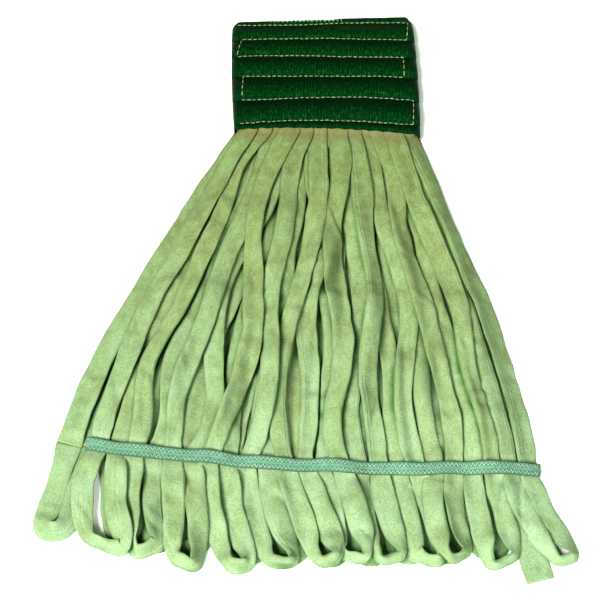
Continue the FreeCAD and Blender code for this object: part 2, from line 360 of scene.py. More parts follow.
def make_mesh(name, points, faces, material, uv=None, values=None):
    """A smooth mesh of points in millimetres. uv is per face corner, and values are per point."""
    mesh = bpy.data.meshes.new(name)
    mesh.from_pydata((np.asarray(points, float) * 0.001).tolist(), [], faces)
    mesh.polygons.foreach_set("use_smooth", [len(face) == 4 for face in faces])
    if uv is not None:
        layer = mesh.uv_layers.new(name="cloth")
        layer.data.foreach_set("uv", np.asarray(uv, np.float32).ravel())
    for key, value in (values or {}).items():
        attribute = mesh.attributes.new(key, "FLOAT", "POINT")
        attribute.data.foreach_set("value", np.asarray(value, np.float32))
    mesh.materials.append(material)
    mesh.update()
    piece = bpy.data.objects.new(name, mesh)
    bpy.context.scene.collection.objects.link(piece)
    return piece


def stand_for(piece, body, node):
    """Puts a piece on a body, in place of a CAD node, which it hides."""
    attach(piece, body)
    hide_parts(node)


def tube_faces(rings, round_count, first=0):
    """Quads of a tube's wall, and its two end caps, wound outwards for the tubes made here."""
    faces = []
    for i in range(rings - 1):
        a = first + i * round_count
        b = a + round_count
        faces += [(a + j, a + (j + 1) % round_count, b + (j + 1) % round_count, b + j)
                  for j in range(round_count)]
    last = first + (rings - 1) * round_count
    faces.append(tuple(range(first + round_count - 1, first - 1, -1)))
    faces.append(tuple(range(last, last + round_count)))
    return faces


# Painted shade darkens the tubes towards green where they lie covered, fully so at COVERED_FROM +
# COVERED_RANGE below the surface above (by a share COVERED_BY_OTHER_SKIRT where the cover is the other
# skirt), and along each tube's rims, most of all at the headband's mouth.
COVERED_FROM, COVERED_RANGE = 2.0, 5.0
COVERED_BY_OTHER_SKIRT = 0.6
RIM_AT_MOUTH, RIM_BELOW = 0.95, 0.36


def depth(top, tube, grid):
    """How deep a tube's points lie below a covered height, from 0 near it to 1."""
    below = cover.read(top, tube.x, tube.y) - grid[..., 2]
    return np.clip((below - COVERED_FROM) / COVERED_RANGE, 0, 1).ravel()


def join_tubes(name, tubes, most_tint, layer_top, top):
    """One piece of several tubes. The tops are the covered heights of its own layer and of the mop."""
    points, faces, uv, tint, down, nap = [], [], [], [], [], []
    total = 0
    for tube, shade in zip(tubes, rng.uniform(0, most_tint, len(tubes))):
        grid = tube.points()
        rings = len(grid)
        points.append(grid.reshape(-1, 3))
        faces += tube_faces(rings, ROUND, total)
        total += rings * ROUND
        start = np.array([-rng.uniform(0, tube.girth), rng.uniform(0, 2000)])
        round_at = np.arange(ROUND + 1) / ROUND * tube.girth
        i, j = np.meshgrid(np.arange(rings - 1), np.arange(ROUND), indexing="ij")
        corners = [(i, j), (i, j + 1), (i + 1, j + 1), (i + 1, j)]
        wall = np.stack([np.stack([round_at[b], tube.along[a]], 2) for a, b in corners], 2)
        uv.append(wall.reshape(-1, 2) + start)
        uv.append(np.zeros((2 * ROUND, 2)) + start)
        tint.append(np.full(rings * ROUND, shade))
        away = np.clip((MOUTH - tube.y.mean(axis=1)) / (MOUTH - FLEX), 0, 1)
        # Painted shade along the tube's rims, strongest at the mouth, and where the tube lies covered.
        rim = np.outer(mix(RIM_AT_MOUTH, RIM_BELOW, ease(away / 0.4)),
                       ease((np.abs(np.cos(ANGLES)) - 0.88) / 0.12)).ravel()
        covered = np.maximum(depth(layer_top, tube, grid), COVERED_BY_OTHER_SKIRT * depth(top, tube, grid))
        nap.append(np.maximum(rim, covered))
        down.append(np.repeat(away, ROUND))
    values = {"tint": np.concatenate(tint), "down": np.concatenate(down), "nap": np.concatenate(nap)}
    return make_mesh(name, np.vstack(points), faces, FABRIC, np.vstack(uv) * 0.001, values)


# -------- materials

def new_material(name):
    """A new material, its node tree and its shader."""
    material = bpy.data.materials.new(name)
    material.use_nodes = True
    tree = material.node_tree
    return material, tree, tree.nodes["Principled BSDF"]


def put(tree, socket, value):
    """Links a socket to value, or sets it."""
    if isinstance(value, bpy.types.NodeSocket):
        tree.links.new(value, socket)
    elif isinstance(value, tuple) and len(value) == 3 and socket.type == "RGBA":
        socket.default_value = (*value, 1)
    else:
        socket.default_value = value


def add(tree, kind, inputs=None, **settings):
    """A new node with its settings, and values or links for its inputs."""
    node = tree.nodes.new(kind)
    for key, value in settings.items():
        setattr(node, key, value)
    for key, value in (inputs or {}).items():
        put(tree, node.inputs[key], value)
    return node


def ramp(tree, value, *stops):
    """A colour ramp with the given stops of place and colour, in rising order."""
    node = add(tree, "ShaderNodeValToRGB", {"Fac": value})
    elements = node.color_ramp.elements
    for place, colour in stops[2:]:
        elements.new(place)
    for element, (place, colour) in zip(elements, stops):
        element.position = place
        element.color = (*colour, 1)
    return node.outputs["Color"]


def colours(tree, share, a, b, mode="MIX"):
    """The colour a with a share of b mixed or multiplied in."""
    return add(tree, "ShaderNodeMix", {0: share, 6: a, 7: b}, data_type="RGBA", blend_type=mode).outputs[2]


def maths(tree, operation, a, b=0.0, c=0.0):
    return add(tree, "ShaderNodeMath", {0: a, 1: b, 2: c}, operation=operation).outputs[0]


def between(tree, value, low, high, at_low=0.0, at_high=1.0):
    """The value mapped from low..high to at_low..at_high, and held there outside."""
    return add(tree, "ShaderNodeMapRange", {
        "Value": value, "From Min": low, "From Max": high, "To Min": at_low, "To Max": at_high,
    }).outputs["Result"]


def noise(tree, place, scale, detail=2.0, roughness=0.5):
    """Soft noise, about scale lumps to a metre."""
    return add(tree, "ShaderNodeTexNoise", {
        "Vector": place, "Scale": scale, "Detail": detail, "Roughness": roughness,
    }).outputs["Fac"]


def wave(tree, value, pitch):
    """0 to 1 and back over each pitch, in metres."""
    turned = maths(tree, "COSINE", maths(tree, "MULTIPLY", value, 2 * math.pi / pitch))
    return maths(tree, "MULTIPLY_ADD", turned, 0.5, 0.5)


def finish_material(tree, shader, colour, height, distance, strength=1.0, **constants):
    """Links the colour and the bump, and sets the shader's constants on its own sockets."""
    tree.links.new(colour, shader.inputs["Base Color"])
    for key, value in constants.items():
        put(tree, shader.inputs[key.replace("_", " ")], value)
    bump = add(tree, "ShaderNodeBump", {"Height": height, "Strength": strength, "Distance": distance})
    tree.links.new(bump.outputs["Normal"], shader.inputs["Normal"])


def cloth_place(tree):
    """The cloth's own place in metres, and its two parts: across or around, and along."""
    cloth = add(tree, "ShaderNodeUVMap", uv_map="cloth").outputs["UV"]
    parts = add(tree, "ShaderNodeSeparateXYZ", {"Vector": cloth})
    return cloth, parts.outputs["X"], parts.outputs["Y"]


def stretched(tree, cloth, scale):
    """The cloth's place with its length scaled, which draws a pattern out along it."""
    return add(tree, "ShaderNodeMapping", {"Vector": cloth, "Scale": (1.0, scale, 1.0)}).outputs["Vector"]


def attribute(tree, name):
    return add(tree, "ShaderNodeAttribute", attribute_name=name).outputs["Fac"]


RIB_PITCH, BAR_PITCH = 1.45, 2.3
SEAM_HALF_WIDTH = 0.0014
ZIGZAG_PITCH, ZIGZAG_HALF, ZIGZAG_RADIUS = 3.7, 1.3, 0.28
ZIGZAG_ROW = 3.0


def fabric_material():
    """Brushed microfibre: mottled pile, fine grain, a soft sheen, and a twin-needle seam along the tube.

    It is paler down the tube. Painted shade darkens it towards green where it lies covered and along its
    rims, and just below the headband it turns brown, partly from soil and partly from painted shade.
    """
    material, tree, shader = new_material("tube_fabric")
    cloth, around, _ = cloth_place(tree)
    drawn_out = stretched(tree, cloth, 0.5)
    patches = noise(tree, drawn_out, 60.0, 3.0, 0.6)
    clouds = noise(tree, drawn_out, 230.0, 3.0, 0.6)
    grain = noise(tree, cloth, 620.0, 3.0, 0.75)
    fibre = noise(tree, cloth, 4200.0, 1.0, 0.5)
    low = ramp(tree, patches, (0.32, (0.151, 0.214, 0.093)), (0.50, (0.194, 0.282, 0.143)),
               (0.68, (0.232, 0.332, 0.195)))
    high = ramp(tree, patches, (0.32, (0.100, 0.122, 0.037)), (0.50, (0.120, 0.162, 0.053)),
                (0.68, (0.138, 0.204, 0.074)))
    body = colours(tree, maths(tree, "POWER", attribute(tree, "down"), 1.4), high, low)
    body = colours(tree, attribute(tree, "tint"), body, (0.150, 0.170, 0.040))
    body = colours(tree, between(tree, clouds, 0.42, 0.72, 0.0, 0.26), body, (0.260, 0.375, 0.205))
    speckle = ramp(tree, grain, (0.33, (0.70, 0.73, 0.65)), (0.65, (1.16, 1.14, 1.16)))
    body = colours(tree, 1.0, body, speckle, "MULTIPLY")
    # Painted shade: a darker green mixed in where the tube lies covered and along its rims.
    shaded = colours(tree, 1.0, body, (0.10, 0.38, 0.075), "MULTIPLY")
    body = colours(tree, attribute(tree, "nap"), body, shaded)
    # Brown just below the headband: partly soil, partly painted shade.
    soil_and_shade = between(tree, attribute(tree, "down"), 0.0, 0.035, 0.55, 0.0)
    body = colours(tree, soil_and_shade, body, (0.115, 0.085, 0.032))
    seam = maths(tree, "SUBTRACT", maths(tree, "ABSOLUTE", around), SEAM_HALF_WIDTH)
    seam = between(tree, maths(tree, "ABSOLUTE", seam), 0.0002, 0.0006, 1.0, 0.0)
    body = colours(tree, maths(tree, "MULTIPLY", seam, 0.11), body, (0.36, 0.43, 0.24))
    height = maths(tree, "MULTIPLY_ADD", grain, 0.5, maths(tree, "MULTIPLY", clouds, 1.2))
    height = maths(tree, "MULTIPLY_ADD", seam, 0.5, maths(tree, "MULTIPLY_ADD", fibre, 0.15, height))
    finish_material(tree, shader, body, height, 0.0007, 0.8, Roughness=0.95, Specular_IOR_Level=0.1,
                    Sheen_Weight=0.05, Sheen_Roughness=0.5, Sheen_Tint=(0.8, 1.0, 0.7))
    return material


def mesh_material():
    """Ribbed open mesh: shiny ribs with painted glints, thin cross bars and dark holes, a close smooth edge
    at each side, and a strip along the mouth painted darker as shade.

    Between the stitch rows painted shade makes it darker towards the far side of each band.
    """
    material, tree, shader = new_material("headband_mesh")
    cloth, across, along = cloth_place(tree)
    rib = maths(tree, "POWER", wave(tree, across, RIB_PITCH * 0.001), 1.6)
    bar = maths(tree, "POWER", wave(tree, along, BAR_PITCH * 0.001), 3.0)
    solid = maths(tree, "MAXIMUM", rib, maths(tree, "MULTIPLY", bar, 0.55))
    edge = attribute(tree, "edge")
    solid = maths(tree, "MAXIMUM", solid, maths(tree, "MULTIPLY", edge, 0.45))
    # Noise for the thread's uneven tone, with painted glints of highlight at its bright end.
    wear_and_glint = noise(tree, stretched(tree, cloth, 0.35), 620.0, 3.0, 0.75)
    thread = ramp(tree, wear_and_glint, (0.34, (0.0005, 0.010, 0.0015)), (0.52, (0.0012, 0.030, 0.0042)),
                  (0.70, (0.0050, 0.150, 0.0150)))
    # Painted shade, darker towards the far side of each band between the stitch rows.
    band_shade = between(tree, attribute(tree, "band"), 0.10, 0.75, 0.0, 0.85)
    thread = colours(tree, band_shade, thread, (0.0006, 0.009, 0.0016))
    body = colours(tree, solid, (0.0001, 0.0020, 0.0006), thread)
    body = colours(tree, maths(tree, "MULTIPLY", edge, 0.75), body, (0.0003, 0.0070, 0.0018))
    finish_material(tree, shader, body, solid, 0.0004, 0.7, Roughness=0.5, Specular_IOR_Level=0.07,
                    Specular_Tint=(0.06, 0.85, 0.2))
    return material


def thread_material(name, low, high):
    """Spun thread: a fine twist and uneven colour."""
    material, tree, shader = new_material(name)
    place = add(tree, "ShaderNodeTexCoord").outputs["Object"]
    uneven = ramp(tree, noise(tree, place, 220.0, 3.0, 0.6), (0.35, low), (0.65, high))
    finish_material(tree, shader, uneven, noise(tree, place, 2600.0, 1.0), 0.0002, Roughness=0.75)
    return material


def tape_material():
    """Twill tape: slanting ribs that change sides at the middle, darker woven edges, and painted shadow
    along the zigzag rows.
    """
    material, tree, shader = new_material("tail_tape")
    cloth, along, across = cloth_place(tree)
    folded = maths(tree, "ABSOLUTE", across)
    twill = wave(tree, maths(tree, "ADD", along, folded), 0.0013)
    uneven = noise(tree, cloth, 170.0, 3.0, 0.6)
    body = ramp(tree, uneven, (0.32, (0.060, 0.185, 0.098)), (0.68, (0.125, 0.300, 0.178)))
    body = colours(tree, maths(tree, "MULTIPLY", twill, 0.5), body, (0.030, 0.150, 0.075))
    # Painted shadow of the zigzag threads, a darker band along each row.
    from_row = maths(tree, "ABSOLUTE", maths(tree, "SUBTRACT", folded, ZIGZAG_ROW * 0.001))
    zigzag_shade = between(tree, from_row, 0.0013, 0.0022, 0.7, 0.0)
    body = colours(tree, zigzag_shade, body, (0.012, 0.085, 0.040))
    body = colours(tree, between(tree, folded, 0.0048, 0.0055), body, (0.006, 0.070, 0.024))
    finish_material(tree, shader, body, twill, 0.0003, 0.7, Roughness=0.8, Sheen_Weight=0.1)
    return material


FABRIC = fabric_material()
MESH = mesh_material()
THREAD = thread_material("sewing_thread", (0.13, 0.125, 0.065), (0.31, 0.32, 0.20))
TAPE = tape_material()
TAPE_THREAD = thread_material("tape_thread", (0.20, 0.25, 0.20), (0.42, 0.46, 0.40))
SELVEDGE = thread_material("selvedge_thread", (0.020, 0.130, 0.035), (0.130, 0.330, 0.130))


# -------- camera

CAMERA_TARGET = Vector((-0.0165, -0.2352, 0))
CAMERA_DISTANCE, CAMERA_LENS = 1.30, 83.34
CAMERA_ELEVATION, CAMERA_TURN = math.radians(67), math.radians(1.84)


def make_camera():
    """A long lens that looks down on the mop from its tail, turned a little."""
    data = bpy.data.cameras.new("camera")
    data.sensor_width, data.lens = 36.0, CAMERA_LENS
    camera = bpy.data.objects.new("camera", data)
    tilted = Matrix.Rotation(math.pi / 2 - CAMERA_ELEVATION, 4, "X")
    backed = Matrix.Translation((0, 0, CAMERA_DISTANCE))
    turned = Matrix.Rotation(CAMERA_TURN, 4, "Z")
    camera.matrix_world = Matrix.Translation(CAMERA_TARGET) @ tilted @ backed @ turned
    bpy.context.scene.collection.objects.link(camera)
    bpy.context.scene.camera = camera


# -------- sheets and threads

def thicken(grid, thickness):
    """A closed sheet's points and faces. The grid is its outer face, with rows and columns of points."""
    rows, columns = grid.shape[:2]
    by_row, by_column = np.gradient(grid, axis=0), np.gradient(grid, axis=1)
    normal = np.cross(by_column, by_row)
    normal /= np.linalg.norm(normal, axis=2)[..., None]
    points = np.vstack([grid.reshape(-1, 3), (grid - normal * thickness).reshape(-1, 3)])
    index = np.arange(rows * columns).reshape(rows, columns)
    a, b, c, d = index[:-1, :-1], index[:-1, 1:], index[1:, 1:], index[1:, :-1]
    outer = np.stack([a, b, c, d], 2).reshape(-1, 4)
    inner = np.stack([a, d, c, b], 2).reshape(-1, 4) + rows * columns
    rim = np.concatenate([index[0, ::-1], index[1:-1, 0], index[-1, :], index[-2:0:-1, -1]])
    after = np.roll(rim, -1)
    side = np.stack([rim, after, after + rows * columns, rim + rows * columns], 1)
    return points, np.vstack([outer, inner, side])


def make_sheet(name, grid, thickness, material, places, values=None):
    """A closed sheet with its cloth places, one pair for each point of the grid."""
    points, faces = thicken(grid, thickness)
    flat = np.tile(places.reshape(-1, 2), (2, 1))
    doubled = {key: np.tile(value.ravel(), 2) for key, value in (values or {}).items()}
    return make_mesh(name, points, faces.tolist(), material, flat[faces.ravel()] * 0.001, doubled)


def thread_points(course, radius, sides):
    """The rings of points of one thread along a course."""
    way = np.gradient(course, axis=0)
    way /= np.linalg.norm(way, axis=1)[:, None]
    level = np.cross(way, (0, 0, 1.0))
    level /= np.maximum(np.linalg.norm(level, axis=1), 1e-6)[:, None]
    up = np.cross(level, way)
    angle = np.arange(sides) * 2 * math.pi / sides
    ring = level[:, None] * np.cos(angle)[None, :, None] + up[:, None] * np.sin(angle)[None, :, None]
    thick = radius * np.ones(len(course))
    return (course[:, None] + ring * thick[:, None, None]).reshape(-1, 3)


def make_threads(name, courses, radii, material, sides=6):
    """One piece of many separate threads."""
    points, faces, total = [], [], 0
    for course, radius in zip(courses, radii):
        points.append(thread_points(course, radius, sides))
        faces += tube_faces(len(course), sides, total)
        total += len(points[-1])
    return make_mesh(name, np.vstack(points), faces, material)


# -------- headband

# The serpentine's rows from the far edge down: their height over the mouth, the gaps left at their ends,
# how much they slant and how much they sway.
SEAM_ROWS = (121.0, 103.5, 82.0, 58.5, 32.0, 5.5)
SEAM_LEFT = (4.0, 10.0, 5.5, 11.0, 9.0, 3.5)
SEAM_RIGHT = (4.5, 8.0, 13.0, 13.5, 6.0, 7.0)
SEAM_SLANT = (-1.5, -2.5, -0.5, 0.5, 3.5, 4.5)
SEAM_SWAY = (1.1, 0.5, 0.9, 0.6, 0.9, 0.5)
STITCH, STITCH_PITCH, STITCH_RADIUS = 5.3, 7.2, 0.34
MESH_THICKNESS = 0.9
PUFF = 0.205
HEM, HEM_Z = 14.0, 2.05
MOUTH_RISE = 4.5


def head_place(across, share):
    """The x and y of a place across from the middle of the headband, which is a little out of square."""
    u = across / HALF
    middle = HEAD_SHIFT - 8.0 * share
    half = 91.0 + 7.0 * share * (1 - share) - 4.0 * ease((share - 0.93) / 0.07)
    mouth = MOUTH + 1.5 + MOUTH_RISE * (1 - u ** 2)
    far = FAR + 6.4 + 5.6 * u - 1.4 * ease((0.2 - u) / 0.1) * ease((share - 0.965) / 0.03)
    return middle + half * u, mix(mouth, far, share)


def seam_share(row, across):
    """A stitch row's share of the way up the headband. It slants and sways a little."""
    u = across / HALF
    sway = SEAM_SWAY[row] * np.sin(3.1 * u + 1.7 * row) + 0.35 * np.sin(9.0 * u + row)
    return (SEAM_ROWS[row] + SEAM_SLANT[row] * (1 + u) / 2 + sway) / LENGTH


def seam_marks(across):
    """The shares of the mouth, each stitch row and the far edge."""
    rows = [seam_share(row, across) for row in reversed(range(len(SEAM_ROWS)))]
    return [np.zeros_like(across), *rows, np.ones_like(across)]


def band_shares(across, steps=8):
    """Shares for a grid's rows, closest together beside each stitch row."""
    marks = seam_marks(across)
    spots = (1 - np.cos(math.pi * np.arange(steps) / steps)) / 2
    rows = [mix(low, high, spot) for low, high in zip(marks, marks[1:]) for spot in spots]
    return np.array([*rows, marks[-1]])


def band_place(across, share):
    """How far up each point is between two stitch rows, from 0 to 1."""
    marks = seam_marks(across)
    return sum(np.clip((share - low) / (high - low), 0, 1) for low, high in zip(marks, marks[1:])) % 1.0


def head_top(across, share):
    """The height of the front mesh's face: puffed between the stitch rows, and lower at the far edge."""
    marks = seam_marks(across)
    height = 13.4 - 1.2 * ease((share - 0.55) / 0.45) - 0.6 * ease((0.02 - share) / 0.02)
    for low, high in zip(marks, marks[1:]):
        s = np.clip((share - low) / (high - low), 0, 1) ** 0.62
        height = height + PUFF * LENGTH * (high - low) * (4 * s * (1 - s)) ** 0.85
    return height


def head_lumps(across, share):
    """The tubes inside show as soft lumps that fade towards the far edge."""
    packed = np.cos(2 * math.pi * across / 13.3 + 2.5 * np.sin(across / 31))
    uneven = np.sin(across / 5.3 + 9 * share) * np.sin(across / 17 - 5 * share)
    return 0.35 * packed * (1 - share) + 0.25 * uneven


def front_mesh():
    """The front mesh: its top, its two rounded side walls and its hems turned in underneath."""
    high, top_bend, low_bend = 13.0, 4.5, 1.3
    flat = HALF - top_bend
    wall = high - top_bend - low_bend
    marks = np.cumsum([flat, top_bend * math.pi / 2, wall, low_bend * math.pi / 2, HEM])
    # s is a place on the cut mesh from edge to edge, and d its distance from the middle.
    count = int(2 * marks[-1] / (RIB_PITCH / 4))
    s = np.linspace(-marks[-1], marks[-1], count)
    d = np.abs(s)
    turn = np.clip((d - marks[0]) / top_bend, 0, math.pi / 2)
    second = np.clip((d - marks[2]) / low_bend, 0, math.pi / 2)
    across = np.minimum(d, flat) + top_bend * np.sin(turn) - low_bend * (1 - np.cos(second))
    across -= np.clip(d - marks[3], 0, None)
    drop = top_bend * (1 - np.cos(turn)) + np.clip(d - marks[1], 0, wall) + low_bend * np.sin(second)
    drop /= high
    across = across * np.sign(s)
    share = band_shares(across)
    across = np.broadcast_to(across, share.shape)
    drop, s = np.broadcast_to(drop, across.shape), np.broadcast_to(s, across.shape)
    top = head_top(across, share) + head_lumps(across, share)
    rib = 0.2 * np.cos(2 * math.pi * s / RIB_PITCH) * (1 - ease((np.abs(s) - flat + 2) / 4))
    x, y = head_place(across, share)
    y = y - 0.35 * np.sin(s / 1.9) * ease((0.03 - share) / 0.03)
    z = mix(top, HEM_Z - MESH_THICKNESS, drop) + rib
    # Closer weave at the side rims; along the mouth, a strip painted darker as shade.
    edge = np.maximum(ease((np.abs(s) - flat + 5) / 3), 0.6 * ease((0.035 - share) / 0.02))
    places = np.stack([s, share * LENGTH], 2)
    sheet = make_sheet("headband_front_sheet", np.stack([x, y, z], 2), MESH_THICKNESS, MESH, places,
                       {"edge": edge, "band": band_place(across, share)})
    stand_for(sheet, "headband", "headband_front_mesh")


def seam_corners():
    """The corners of the serpentine seam, as mm from the middle and share of the way up."""
    corners = []
    for row in range(len(SEAM_ROWS)):
        left, right = -HALF + SEAM_LEFT[row], HALF - SEAM_RIGHT[row]
        line = np.linspace(left, right, 12)
        line = line if row % 2 == 0 else line[::-1]
        corners += [(across, seam_share(row, across)) for across in line]
    return np.array(corners)


def stitches(name, replaced, face):
    """Dashes of thread along the seam. face gives the height of their middle lines."""
    corners = seam_corners()
    x, y = head_place(corners[:, 0], corners[:, 1])
    track = np.column_stack([x, y, corners])
    run = np.concatenate([[0], np.cumsum(np.linalg.norm(np.diff(track, axis=0), axis=1))])
    t = np.linspace(-0.5, 0.5, 7)
    bow = 0.35 * (1 - (2 * t) ** 4) - 0.25
    courses, radii = [], []
    for spot in np.arange(STITCH_PITCH / 2, run[-1], STITCH_PITCH):
        length = STITCH * rng.uniform(0.86, 1.08)
        x, y, across, share = (np.interp(spot + t * length, run, column) for column in track.T)
        courses.append(np.column_stack([x, y, face(across, share, bow)]))
        radii.append(STITCH_RADIUS * (1 - 0.55 * np.abs(2 * t) ** 4))
    piece = make_threads(name, courses, radii, THREAD, 8)
    stand_for(piece, "headband", replaced)


def selvedge_loops():
    """Weft loops of the mesh that show along the middle of the far edge."""
    courses = []
    for across in np.arange(-50, 18, 4.2):
        t = np.linspace(0, math.pi, 9)
        spread = across + 1.7 * np.cos(t) + rng.uniform(-0.3, 0.3)
        share = 0.968 + 0.040 * np.sin(t) * rng.uniform(0.85, 1.1)
        x, y = head_place(spread, share)
        courses.append(np.column_stack([x, y, head_top(spread, np.clip(share, 0, 1)) + 0.5]))
    piece = make_threads("selvedge_loops", courses, [0.36] * len(courses), SELVEDGE)
    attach(piece, "headband")


def back_mesh():
    """The back mesh: a panel that lies on the floor, drawn up a little at each stitch row."""
    low, high = cad_box("headband_back_mesh")
    span = (high[0] - low[0]) / 2
    across = np.linspace(-span, span, int(2 * span / (RIB_PITCH / 4)))
    share = band_shares(across)
    s = np.broadcast_to(across, share.shape)
    from_rows = [(share - seam_share(row, s)) * LENGTH for row in range(len(SEAM_ROWS))]
    drawn = sum(0.75 * np.exp(-(off / 2.2) ** 2) for off in from_rows)
    x, y = head_place(s, share)
    z = 0.2 + drawn + 0.12 * (1 + np.cos(2 * math.pi * s / RIB_PITCH))
    edge = ease((np.abs(s) - span + 5) / 3)
    places = np.stack([s, share * LENGTH], 2)
    # The back mesh gets an even share of the bands' painted shade.
    sheet = make_sheet("headband_back_sheet", np.stack([x, y, z], 2)[::-1], MESH_THICKNESS * 0.9, MESH,
                       places[::-1], {"edge": edge[::-1], "band": np.full(edge.shape, 0.5)})
    stand_for(sheet, "headband", "headband_back_mesh")


def front_face(across, share, lift):
    """The height of a stitch's middle line, which bows out by lift."""
    return head_top(across, share) + head_lumps(across, share) + STITCH_RADIUS + lift + 0.25


def back_face(across, share, lift):
    """The same on the underside, where it bows down."""
    return STITCH_RADIUS + 0.08 + 0.25 - lift


SEWN_ENDS, SEWN_PITCH, SEWN_RINGS = 12, 13.6, 26
SEWN_LAYER = {"front": (7.0, 11.0), "back": (1.9, 6.4)}
# The cut ends inside the headband get a fixed share of painted shade.
SEWN_LOOK = {"tint": 0.2, "down": 0.1, "nap": 0.3}


def strand_ends(side):
    """The tubes' cut ends, stitched flat between the two meshes."""
    low, high = SEWN_LAYER[side]
    share = np.linspace(0, 0.955, SEWN_RINGS)
    c, s = np.cos(ANGLES)[None, :], np.sin(ANGLES)[None, :]
    tubes = []
    for number in range(SEWN_ENDS):
        across = np.full(SEWN_RINGS, (number - (SEWN_ENDS - 1) / 2) * SEWN_PITCH)
        x, y = head_place(across, share)
        top = (head_top(across, share) - 1.6) / 13.0
        middle = mix(low, high, 0.5) * top
        wide = 7.6 + 0.5 * wander(SEWN_RINGS, 6)
        thick = (high - low) / 2 * top * (1 + 0.1 * wander(SEWN_RINGS, 6))
        ring_x = x[:, None] + wide[:, None] * squared(c, 0.7)
        ring_z = middle[:, None] + thick[:, None] * squared(s, 0.7)
        ring_y = np.broadcast_to(y[:, None], ring_x.shape)
        tubes.append(np.stack([ring_x, ring_y, ring_z], 2)[:, ::-1])
    points = np.vstack([tube.reshape(-1, 3) for tube in tubes])
    faces = [face for number in range(SEWN_ENDS)
             for face in tube_faces(SEWN_RINGS, ROUND, number * SEWN_RINGS * ROUND)]
    corners = np.concatenate([points[list(face)][:, :2] for face in faces])
    values = {key: np.full(len(points), value) for key, value in SEWN_LOOK.items()}
    piece = make_mesh(f"{side}_sewn_ends", points, faces, FABRIC, corners * 0.001, values)
    stand_for(piece, "headband", f"{side}_strand_ends")


# -------- strands and loops

def lay_skirt(side, loops):
    """Lays one skirt's legs and then its loops, and returns both with the legs' courses."""
    legs = LEGS[side]
    courses = [leg_points(side, leg) for leg in range(legs)]
    tubes = [leg_tube(course, side) for course in courses]
    upper = [2 * pair + int(pair >= legs // 4) for pair in range(legs // 2)]
    lower = [leg for leg in range(legs) if leg not in upper]
    for leg in [*rng.permutation(lower), *rng.permutation(upper)]:
        tubes[leg].lay()
    rounds = {}
    for number in rng.permutation(len(loops)):
        left, right = courses[2 * number], courses[2 * number + 1]
        shape, section = loops[number]
        points = loop_points(left, right, *shape)
        first, last = len(left) - 1, len(points) - len(right)
        tube = loop_tube(points, first, last, WIDTH[side] * PINCH[side], *section)
        mirrored = (ROUND // 2 - np.arange(ROUND)) % ROUND
        tube.lay(tubes[2 * number].base[-1], tubes[2 * number + 1].base[-1][mirrored])
        rounds[number] = tube
    return tubes, [rounds[number] for number in range(len(loops))], courses


def front_loops():
    """Each upper loop's numbers for loop_points() and then for loop_tube(), from left to right."""
    reaches = (93, 92, 100, 99, 93, 90, 85, 85, 84, 83, 87, 84)
    leans = (8, 8, 9, 24, 27, 32, 21, 20, 19, 11, 17, 40)
    drifts = (-8, -2, 2, -5, -3, 3, 2, -3, 3, -5, 0, -3)
    spreads = (16.5, 11.5, 11, 10.0, 12, 10.5, 12.5, 11.5, 12.5, 10.5, 12.5, 10)
    return [((reach, lean, spread, drift, rng.uniform(0.5, 0.74), rng.uniform(-4, 4)),
             (rng.uniform(6, 30), rng.uniform(62, 80), 2.7))
            for reach, lean, spread, drift in zip(reaches, leans, spreads, drifts)]


def back_loops():
    """The lower loops' numbers, in the same order."""
    reaches = (84, 82, 84, 86, 86, 84, 84, 82, 80, 78, 76)
    leans = (-16, 10, 2, -4, 16, 12, 12, 10, 8, 6, 8)
    return [((reach, lean, rng.uniform(8.5, 11), 0.0, 0.5, 0.0), (rng.uniform(5, 20), 42.0, 2.3))
            for reach, lean in zip(reaches, leans)]


CUT_REACH, CUT_LEAN, CUT_HALF_WIDTH = 97.0, 25.5, 12.6


def cut_end(leg, course):
    """The back skirt's odd leg runs on past the tape and ends in a flat cut."""
    v = np.array([0.2, 0.45, 0.7, 1.0])
    x = course[-1][0] + CUT_LEAN * v ** 1.3 + 2 * np.sin(5 * v)
    points = np.vstack([course, np.stack([x, course[-1][1] - CUT_REACH * v], 1)])
    place, direction, along = walk(points, len(course) - 1, len(points) - 1)
    share = along / along[-1]
    half_width = mix(WIDTH["back"], CUT_HALF_WIDTH, ease((share - 0.3) / 0.6))
    half_thick = mix(1.6, 2.1, ease(share / 0.3)) * mix(1.0, 0.7, ease((share - 0.8) / 0.2))
    tilt = np.radians(wander(len(along), 5, -14, 14)) * ease(share / 0.2)
    tube = Tube(place, direction, along, half_width, half_thick, tilt, np.zeros(len(along)), kinks=2)
    tube.lay(start_base=leg.base[-1])
    return tube


# The stack's height from the loops' tips up to the mouth.
STACK_AT = (FLEX - 90, FLEX - 20, FLEX + 4, FLEX + 24, FLEX + 60, MOUTH - 90, MOUTH - 25, MOUTH)
STACK_HEIGHT = (23, 19, 15, 15.5, 25, 25, 16.5, 10.8)


def settle(tubes):
    """Squeezes the stack to its height along the mop: thin in the headband and at the tape."""
    rows = ground.low[1] + np.arange(ground.height.shape[1])
    kernel = np.ones(9) / 9

    def evened(values):
        return np.convolve(np.pad(values, 4, mode="edge"), kernel, mode="valid")

    stack = np.maximum(np.percentile(ground.height, 97, axis=0), 1.0)
    stack = mix(stack, np.maximum(ground.height.max(axis=0), 1.0), ease((rows - MOUTH + 12) / 10))
    scale = evened(np.minimum(1.0, np.interp(rows, STACK_AT, STACK_HEIGHT) / evened(stack)))
    for tube in tubes:
        share = np.interp(tube.y, rows, scale)
        lift = 1.4 * ease((tube.y - (MOUTH - 25)) / 25)
        tube.base = tube.base * share + lift
        tube.rise = tube.rise * share
        tucked = np.clip(tube.base + tube.rise, None, 12.2 + 30 * ease((MOUTH + 2 - tube.y) / 8))
        tube.rise = tucked - tube.base


